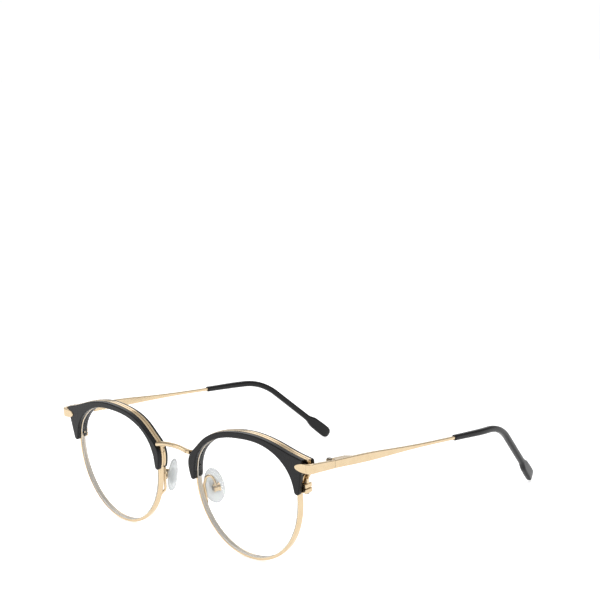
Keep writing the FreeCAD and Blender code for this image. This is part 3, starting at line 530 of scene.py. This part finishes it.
def lens():
    """The resin blank: two spherical faces of one centre, and the ridge that sits in the rim's groove."""
    centre = LENS_APEX + LENS_CURVE_RADIUS
    edge, crest = np.array(outline(-FIT_GAP)), np.array(outline(BEVEL_HEIGHT))

    def ring(places, depth):
        return [(u, depth(math.hypot(u, v)), v) for u, v in places]

    def front(reach):
        return centre - math.sqrt(LENS_CURVE_RADIUS ** 2 - reach ** 2)

    def back(reach):
        return centre - math.sqrt((LENS_CURVE_RADIUS - LENS_THICKNESS) ** 2 - reach ** 2)

    shares = [k / LENS_RINGS for k in range(LENS_RINGS + 1)]
    sections = [ring(edge * max(share, LENS_MIDDLE), front) for share in shares]
    for band in LENS_BANDS:
        last = -BEVEL_HALF_WIDTH - band / LENS_BAND_DIVISOR
        sections.append(ring(edge, lambda reach, band=band, last=last: min(front(reach) + band, last)))
    sections += [ring(places, lambda reach, y=y: y) for places, y in (
        (edge, -BEVEL_HALF_WIDTH), (crest, 0.0), (edge, BEVEL_HALF_WIDTH))]
    sections += [ring(edge * max(share, LENS_MIDDLE), back) for share in reversed(shares)]
    bm = loft(sections)
    for face in bm.faces:
        middle = face.calc_center_median()
        if abs(face.normal.y) > EDGE_SLOPE:
            continue
        depth = middle.y - front(math.hypot(middle.x, middle.z))
        under_brow = middle.z > (UNDER_BROW[0] if middle.x < 0 else UNDER_BROW[1])
        if under_brow:
            face.material_index = 3 if depth > LENS_BANDS[1] - FIT_GAP else 1
        else:
            # the front band of the edge, clear of the brow, gets the dark grey painted shade line
            face.material_index = 2 if depth < LENS_BANDS[0] else 1
    return bm


def grown(places, grow, lift=0.0):
    """Places lifted, and then moved away from the middle of the lens."""
    return [np.array((u, v + lift)) * (1 + grow / math.hypot(u, v)) for u, v in places]


def brow_outline(grow, inside, lift=0.0, end=None, strip=None):
    """The brow's outline as (u, v) places, down its two tips and along the lens opening. The lift keeps
    its lower edges up. With an end the outline stops short there, and above the closing block, except for
    a strip along the lens opening."""
    nasal = grown(arc_line(NASAL_TIP, NASAL_STEPS), grow, lift)
    wing = grown(smooth_line(WING_LOWER_EDGE, WING_STEPS), grow, lift)
    tip = grown(arc_line(TEMPORAL_TIP, TEMPORAL_STEPS), grow, lift)
    if end is not None:
        wing = [p for p in wing if p[1] > BLOCK_ROOM_TOP]
    inner_end = tip[0][1] + TIP_RISE
    if strip is not None:
        beside = [p for p in outline(strip) if p[0] > 0 and tip[0][1] - TIP_RISE < p[1] < BLOCK_ROOM_TOP]
        beside = list(reversed(beside))
        tip = [p for p in tip if p[0] < beside[0][0]] + beside + [(beside[-1][0], BLOCK_ROOM_TOP)]
    elif end is not None:
        tip, inner_end = [], BLOCK_ROOM_TOP
    inner = [p for p in outline(inside) if p[1] > (nasal[-1][1] + TIP_RISE if p[0] < 0 else inner_end)]
    top = grown(smooth_line(BROW_OUTER_EDGE, TOP_STEPS), grow)
    places = [p for p in top if p[0] > NASAL_SIDE_U or p[1] > nasal[0][1]]
    places += nasal + inner + tip + wing + grown(arc_line(WING_END, WING_END_STEPS), grow)
    return [(min(u, end or u), v) for u, v in places]


def brow_front():
    front = -RIM_HALF_DEPTH - BROW_FRONT_DEPTH
    bm = slab(brow_outline(0.0, FIT_GAP), front, -RIM_HALF_DEPTH)
    bevel(bm, edges_at(bm, front), BROW_EDGE, 6)
    bevel(bm, edges_at(bm, -RIM_HALF_DEPTH), SOFT_EDGE, 2)
    return bm


def brow_plate():
    """The metal layer of the brow, with the line that runs round the middle of its edge."""
    bm = slab(brow_outline(PLATE_PROUD, RIM_THICKNESS, PLATE_TUCK, PLATE_END_U), -RIM_HALF_DEPTH,
              RIM_HALF_DEPTH)
    for y in (-PLATE_LINE, PLATE_LINE):
        bmesh.ops.bisect_plane(bm, geom=bm.verts[:] + bm.edges[:] + bm.faces[:], plane_co=(0, y, 0),
                               plane_no=(0, 1, 0))
    band = [f for f in bm.faces if abs(f.calc_center_median().y) < PLATE_LINE / 2]
    bmesh.ops.inset_region(bm, faces=band, thickness=0.0, depth=-PLATE_LINE_DEPTH, use_even_offset=True)
    for y in (-RIM_HALF_DEPTH, RIM_HALF_DEPTH):
        bevel(bm, edges_at(bm, y), METAL_EDGE, 2)
    return bm


def brow_back():
    back = RIM_HALF_DEPTH + BROW_BACK_DEPTH
    bm = slab(brow_outline(0.0, FIT_GAP, BACK_LIFT, BACK_END_U, BACK_STRIP), RIM_HALF_DEPTH, back)
    bevel(bm, edges_at(bm, back), BROW_BACK_EDGE, 4)
    return bm


def end_piece():
    """The arm from its spear tip on the brow round the corner to the hinge, with its lug and knuckles."""
    front = (PUPIL_HALF_DISTANCE + SPEAR_END_U) * math.sin(FACE_FORM) + SPEAR_FRONT
    middle_x, middle_y = ARM_OUTER - ARM_CORNER_RADIUS, front + ARM_CORNER_RADIUS
    on_front = (Matrix.Rotation(FACE_FORM, 4, "Z")
                @ Matrix.Translation((PUPIL_HALF_DISTANCE, 0, LENS_HEIGHT)))
    spear_inward = Vector((-math.sin(FACE_FORM), math.cos(FACE_FORM), 0))
    stations = []
    for u, half in SPEAR_HEIGHTS:
        outer = on_front @ Vector((u, SPEAR_FRONT, SPEAR_AXIS_V))
        stations.append((outer, spear_inward, half, SPEAR_THICKNESS))
    for step in range(CORNER_STEPS + 1):
        angle = math.pi / 2 * step / CORNER_STEPS
        inward = Vector((-math.sin(angle), math.cos(angle), 0))
        outer = Vector((middle_x, middle_y, LENS_HEIGHT + SPEAR_AXIS_V)) - inward * ARM_CORNER_RADIUS
        thickness = min(ARM_THICKNESS, SPEAR_THICKNESS + step * CORNER_GROWTH)
        stations.append((outer, inward, ARM_CORNER_HALF_HEIGHT, thickness))
    for step in range(1, ARM_STEPS + 1):
        share = step / ARM_STEPS
        outer = Vector((ARM_OUTER, middle_y, LENS_HEIGHT + SPEAR_AXIS_V)).lerp(
            Vector((ARM_OUTER, HINGE.y, HINGE.z)), share)
        half = ARM_CORNER_HALF_HEIGHT + (ARM_JOINT_HALF_HEIGHT - ARM_CORNER_HALF_HEIGHT) * share
        stations.append((outer, Vector((-1, 0, 0)), half, ARM_THICKNESS))
    sections = []
    for outer, inward, half, thickness in stations:
        radius = min(ARM_EDGE, half * 0.8)
        sections.append([outer + inward * (thickness / 2 - across) + Vector((0, 0, up))
                         for across, up in rounded_box(thickness / 2, half, radius)])
    end = len(sections) - 1
    for place in sections[end]:
        place.y = HINGE.y + (place.z - HINGE.z) * math.tan(PANTOSCOPIC)
    lug = moved(box_of(*LUG_CORNERS, METAL_EDGE), on_front)
    web_end = HINGE_INSET - ARM_THICKNESS + WEB_BITE
    knuckles = []
    for low, high in KNUCKLE_SPANS:
        knuckles.append(turned_post(KNUCKLE_RADIUS, low, high, KNUCKLE_EDGE))
        knuckles.append(box_of((0, -KNUCKLE_RADIUS, low), (web_end, 0, high), KNUCKLE_EDGE))
    at_hinge = Matrix.Translation(HINGE) @ Matrix.Rotation(-PANTOSCOPIC, 4, "X")
    return combined(loft(sections), lug, *[moved(part, at_hinge) for part in knuckles])


def box_of(low, high, edge, segments=3):
    """A box between two corners, with its edges rounded."""
    bm = bmesh.new()
    middle = (Vector(low) + Vector(high)) / 2
    size = Vector(high) - Vector(low)
    bmesh.ops.create_cube(bm, size=1.0, matrix=Matrix.Translation(middle) @ Matrix.Diagonal((*size, 1)))
    bevel(bm, bm.edges[:], edge, segments)
    return bm


def turned_post(radius, low, high, edge):
    """A round post along z, with its two rims rounded."""
    bm = bmesh.new()
    bmesh.ops.create_cone(bm, cap_ends=True, segments=40, radius1=radius, radius2=radius,
                          depth=high - low, matrix=Matrix.Translation((0, 0, (low + high) / 2)))
    bevel(bm, [e for e in bm.edges if e.calc_face_angle(0) > 1.0], edge, 3)
    return bm


def temple():
    """The flat bar, in the hinge frame: its height falls away from the hinge, its thickness stays."""
    heights = smooth_line(TEMPLE_HEIGHTS, TEMPLE_STATIONS)
    middle = TEMPLE_OUTER - TEMPLE_THICKNESS / 2
    sections = []
    for y, height in heights:
        radius = min(TEMPLE_EDGE, height / 2 * 0.9)
        sections.append([(middle + across, y, up)
                         for across, up in rounded_box(TEMPLE_THICKNESS / 2, height / 2, radius, 5)])
    return loft(sections)


def share_reading(table, share):
    """A value read off a table of (share, value) pairs, with smooth steps between them."""
    for (low, first), (high, second) in zip(table, table[1:]):
        if share <= high:
            part = max(0.0, (share - low) / (high - low))
            return first + (second - first) * part * part * (3 - 2 * part)
    return table[-1][1]


def temple_tip():
    """The acetate tip: soft-cornered sections along the bent core, ending in a rounded paddle."""
    line = bent_line([(x, y, z) for y, x, z in TEMPLE_PATH], TEMPLE_BENDS, TIP_SPACING, 40)
    reach = np.concatenate([[0], np.cumsum([(b - a).length for a, b in zip(line, line[1:])])])
    start = TIP_START - TEMPLE_PATH[0][0]
    length = reach[-1] - start
    plain = [k / TIP_STATIONS for k in range(1, TIP_STATIONS) if k / TIP_STATIONS < TIP_ROUND]
    sections = []
    for share in TIP_MOUTH_STOPS + tuple(plain) + TIP_END_STOPS:
        at = start + share * length
        i = min(int(np.searchsorted(reach, at)), len(line) - 1)
        part = (at - reach[i - 1]) / max(1e-9, reach[i] - reach[i - 1])
        place = line[i - 1].lerp(line[i], part)
        along = (line[min(i + 3, len(line) - 1)] - line[max(i - 4, 0)]).normalized()
        up = (Vector((0, 0, 1)) - along * along.z).normalized()
        side = along.cross(up)
        close = math.sqrt(max(0.0, 1 - max(0.0, (share - TIP_ROUND) / (1 - TIP_ROUND)) ** 2))
        mouth = 1 - TIP_MOUTH * max(0.0, 1 - share / TIP_MOUTH_STOPS[-1]) ** 2
        height = share_reading(TIP_HEIGHTS, share) * close * mouth
        width = share_reading(TIP_WIDTHS, share) * close * mouth
        corner = TIP_CORNER * min(width, height) / 2
        sections.append([place + up * rise + side * across
                         for across, rise in rounded_box(width / 2, height / 2, corner, 7)])
    return loft(sections)


def spring_box():
    """The housing on the inner side of the temple, its far end sloped down to the bar."""
    low, high = -BOX_HALF_WIDTH, HINGE_INSET - TEMPLE_THICKNESS
    sections = []
    for y, inner in ((BOX_FRONT, low), (BOX_SLOPE_START, low), (BOX_END, high - BOX_LIP)):
        half = (high - inner) / 2
        corner = min(BOX_EDGE, half * 0.9)
        sections.append([((high + inner) / 2 + across, y, up)
                         for across, up in rounded_box(half, BOX_HALF_HEIGHT, corner, 5)])
    bm = loft(sections)
    bevel(bm, [e for e in bm.edges if abs(e.verts[0].co.y - BOX_FRONT) < 1e-4
               and abs(e.verts[1].co.y - BOX_FRONT) < 1e-4], METAL_EDGE, 2)
    return bm


def bridge():
    """The arched bar between the brows, with a gusset down to each brow's edge."""
    half = [Vector(p) for p in BRIDGE_PATH]
    points = half + [Vector((-p.x, p.y, p.z)) for p in reversed(half)]
    bends = BRIDGE_BENDS + BRIDGE_BENDS[::-1]
    parts = [wire(bent_line(points, bends, 0.8, 14), BRIDGE_RADIUS)]
    for sign in (1, -1):
        top, low = (Vector((sign * p[0], p[1], p[2])) for p in GUSSET_ENDS)
        shares = [k / GUSSET_STEPS for k in range(GUSSET_STEPS + 1)]
        parts.append(wire([top.lerp(low, share) for share in shares],
                          [GUSSET_RADIUS * (1 + GUSSET_SWELL * (2 * share - 1) ** 6) for share in shares]))
    return combined(*parts)


def closing_block(sign):
    """One half of the block that closes the rim, brazed beside the slit."""
    low = SLIT_HEIGHT + sign * SLIT_HALF_WIDTH
    high = SLIT_HEIGHT + sign * BLOCK_HALF_HEIGHT
    return box_of((BLOCK_INNER_U, BLOCK_FRONT, min(low, high)), (BLOCK_OUTER, BLOCK_BACK, max(low, high)),
                  BLOCK_EDGE)


def closing_block_upper():
    line = bent_line(STRUT_PATH, (STRUT_BEND, STRUT_BEND), 0.3, 10)
    radii = [STRUT_RADIUS * (1 + braze(k, 0.35)) for k in range(len(line))]
    return combined(closing_block(1), wire(line, radii))


def braze(station, swell):
    """How much a wire swells at its first stations, where it is brazed on."""
    return swell * max(0.0, 1 - station / BRAZE_STATIONS) ** 2


def nose_pad():
    """The soft pad, in the pad frame: an upright oval, flat to the nose, with a round edge."""
    stations = [(-y, inset) for y, inset in PAD_HALF_SECTIONS] + [(0.0, 0.0)]
    stations += reversed(PAD_HALF_SECTIONS)
    turns = [2 * math.pi * k / PAD_STEPS for k in range(PAD_STEPS)]
    return loft([[((PAD_WIDTH / 2 - inset) * math.cos(t), y,
                   (PAD_HEIGHT / 2 - inset) * math.sin(t) * (1 + PAD_TAPER * math.sin(t))) for t in turns]
                 for y, inset in stations])


def pad_arm():
    """The wire from the back of the rim, up, over and down to the pad's clip."""
    clip = (Matrix.Translation(PAD_CENTRE) @ Matrix.Rotation(-PAD_FRONTAL, 4, "Y")
            @ Matrix.Rotation(math.pi / 2 - PAD_SPLAY, 4, "Z")) @ Vector(PAD_ARM_END)
    line = bent_line(PAD_ARM_PATH + (tuple(clip),), (PAD_ARM_BEND,) * (len(PAD_ARM_PATH) - 1), 0.35, 10)
    return wire(line, [PAD_ARM_RADIUS * (1 + braze(k, 0.5)) for k in range(len(line))])


# ------------------------------------------------------------------- stage


def aim(thing, place, target, roll=0.0):
    """Puts a camera or a lamp at a place, pointing at a target."""
    thing.location = place
    turn = (Vector(target) - Vector(place)).to_track_quat("-Z", "Y").to_matrix().to_4x4()
    thing.rotation_euler = (turn @ Matrix.Rotation(roll, 4, "Z")).to_euler()


def softbox(name, place, target, size, power):
    lamp = bpy.data.lights.new(name, "AREA")
    lamp.shape = "RECTANGLE"
    lamp.size, lamp.size_y = size
    lamp.energy = power
    made = bpy.data.objects.new(name, lamp)
    bpy.context.scene.collection.objects.link(made)
    aim(made, place, target)


def floor():
    """A wide sheet of matt white board."""
    bm = bmesh.new()
    bmesh.ops.create_circle(bm, cap_ends=True, segments=96, radius=FLOOR_RADIUS)
    mesh = bpy.data.meshes.new("floor")
    bm.to_mesh(mesh)
    bm.free()
    mesh.materials.append(surface("matt_white_board", ("#fdfdfd", "#fafafa"), (0.7, 0.8), 400.0, 3.0, 0.01,
                                  **{"Emission Color": linear("#ffffff"), "Emission Strength": BOARD_GLOW}))
    made = bpy.data.objects.new("floor", mesh)
    bpy.context.scene.collection.objects.link(made)


def studio():
    """A white room with grey flags at mid height, which the polished metal picks up as darker bands."""
    world = bpy.data.worlds.new("studio")
    bpy.context.scene.world = world
    world.use_nodes = True
    tree = world.node_tree
    tree.nodes.clear()
    way = add(tree, "ShaderNodeTexCoord").outputs["Generated"]
    rise = add(tree, "ShaderNodeSeparateXYZ", {"Vector": way}).outputs["Z"]
    height = add(tree, "ShaderNodeMapRange", {"Value": rise, "From Min": -1.0, "From Max": 1.0})
    ramp = add(tree, "ShaderNodeValToRGB", {"Fac": height.outputs["Result"]})
    bands = ramp.color_ramp
    for place, level in ROOM_BANDS:
        stop = bands.elements.new(place)
        stop.color = (level, level, level, 1)
    bands.elements.remove(bands.elements[0])
    bands.elements.remove(bands.elements[-1])
    lit = add(tree, "ShaderNodeBackground", {"Color": ramp.outputs["Color"], "Strength": ROOM_LIGHT})
    add(tree, "ShaderNodeOutputWorld", {"Surface": lit.outputs["Background"]})
    for lamp in LAMPS:
        softbox(*lamp)


def camera():
    """A short telephoto view from the wearer's left, a little above the glasses."""
    back = Vector((math.sin(CAMERA_AZIMUTH) * math.cos(CAMERA_RISE),
                   -math.cos(CAMERA_AZIMUTH) * math.cos(CAMERA_RISE), math.sin(CAMERA_RISE)))
    made = bpy.data.objects.new("camera", bpy.data.cameras.new("camera"))
    made.data.sensor_width = 36.0
    made.data.lens = CAMERA_LENS
    made.data.clip_start, made.data.clip_end = 0.01, 100.0
    aim(made, CAMERA_AIM + back * CAMERA_DISTANCE, CAMERA_AIM, CAMERA_ROLL)
    bpy.context.scene.collection.objects.link(made)
    bpy.context.scene.camera = made


# ---------------------------------------------------------------- assembly


for side, mirrored in SIDES.items():
    front_place, lens_place, hinge_place, pad_place = (mirrored @ m for m in (FRONT, LENS, HINGED, PAD))
    temple_body, pad_body = "temple_" + side, "pad_" + side

    def on(name, bm, place, body, material, slot, sharp=40.0):
        return piece(name + "_piece_" + side, bm, place, body, material, [name + "_" + side], sharp)

    on("rim", rim(), lens_place, "front", rose_gold, "gold_metal")
    on("lens", lens(), lens_place, "front", [lens_resin, lens_edge, painted_shade_bevel, blacked_edge],
       "lens_resin", 25.0)
    on("brow_front", brow_front(), lens_place, "front", acetate, "black_acetate")
    on("brow_plate", brow_plate(), lens_place, "front", rose_gold, "gold_metal")
    on("brow_back", brow_back(), lens_place, "front", acetate, "black_acetate")
    on("end_piece", end_piece(), front_place, "front", rose_gold, "gold_metal")
    on("closing_block_upper", closing_block_upper(), lens_place, "front", rose_gold, "gold_metal")
    on("closing_block_lower", closing_block(-1), lens_place, "front", rose_gold, "gold_metal")
    on("pad_arm", pad_arm(), front_place, "front", rose_gold, "gold_metal")
    on("temple", temple(), hinge_place, temple_body, rose_gold, "gold_metal")
    on("temple_tip", temple_tip(), hinge_place, temple_body, acetate, "black_acetate", 50.0)
    on("spring_box", spring_box(), hinge_place, temple_body, rose_gold, "gold_metal")
    on("nose_pad", nose_pad(), pad_place, pad_body, silicone, "silicone", 60.0)
piece("bridge_piece", bridge(), FRONT, "front", rose_gold, ["bridge"])

KEPT = {"hinge_screw": screw_steel, "hinge_slider": screw_steel, "hinge_spring": screw_steel,
        "spring_retainer": rose_gold, "rim_screw": screw_steel, "brow_screws": screw_steel,
        "pad_screw": screw_steel, "pad_box": rose_gold, "pad_core": insert}
for name, node in frame["nodes"].items():
    finish = KEPT.get(name.rsplit("_", 1)[0])
    if finish:
        node.data.materials.clear()
        node.data.materials.append(finish)

floor()
studio()
camera()
bpy.context.scene.view_settings.view_transform = "Standard"
